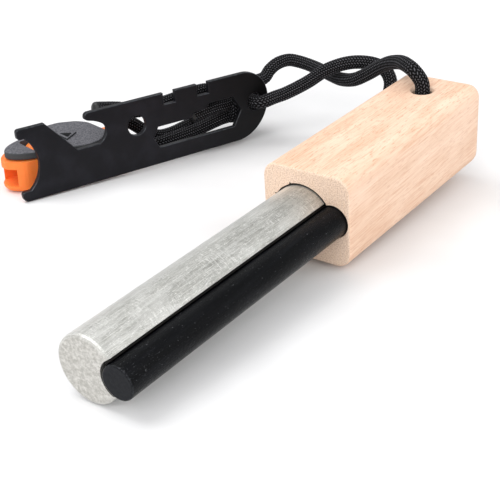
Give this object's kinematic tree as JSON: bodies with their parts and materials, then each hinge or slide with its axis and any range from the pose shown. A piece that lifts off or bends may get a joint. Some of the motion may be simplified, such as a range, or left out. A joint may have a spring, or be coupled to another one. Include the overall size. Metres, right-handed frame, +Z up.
{
  "type": "ferro rod fire starter",
  "caption": "Fire starter with a magnesium rod and a ferro rod in a wooden handle, tied by braided cord to a flat steel striker with tool cut-outs and a small whistle.",
  "frame": {"origin": "middle of the box of everything but the cord, on the surface that it lies on", "axes": "+X along the rods from the handle to their tips, +Y from the striker towards the handle, +Z up"},
  "size_m": [0.1627, 0.1156, 0.036],
  "materials": {
    "wood": "satin",
    "magnesium": "satin",
    "ferro": "gloss",
    "glue": "satin",
    "black_steel": "matte",
    "orange_plastic": "satin",
    "grey_plastic": "matte",
    "cord": "matte"
  },
  "bodies": {
    "grip": {"handle": "wood", "magnesium_rod": "magnesium", "ferro_rod": "ferro", "seam_glue": "glue", "socket_glue": "glue", "cord_in_handle": "cord", "cord_under_handle": "cord", "cord_top_strand": "cord", "cord_bottom_strand": "cord", "cord_knot": "cord", "cord_whistle_loop": "cord", "cord_tail": "cord", "cord_second_tail": "cord"},
    "striker": {"striker": "black_steel"},
    "whistle": {"whistle_body": "orange_plastic", "whistle_cover": "grey_plastic"}
  },
  "joints": [
    {"name": "striker_swing", "type": "hinge", "parent": "grip", "child": "striker", "pos_m": [-0.06346, -0.0147, 0.01338], "axis": [-0.3391, -0.9406, -0.0174], "range_deg": [0, 90]},
    {"name": "whistle_swing", "type": "hinge", "parent": "grip", "child": "whistle", "pos_m": [-0.02803, -0.04312, 0.0069], "axis": [0, 0, -1], "range_deg": [0, 60]}
  ]
}
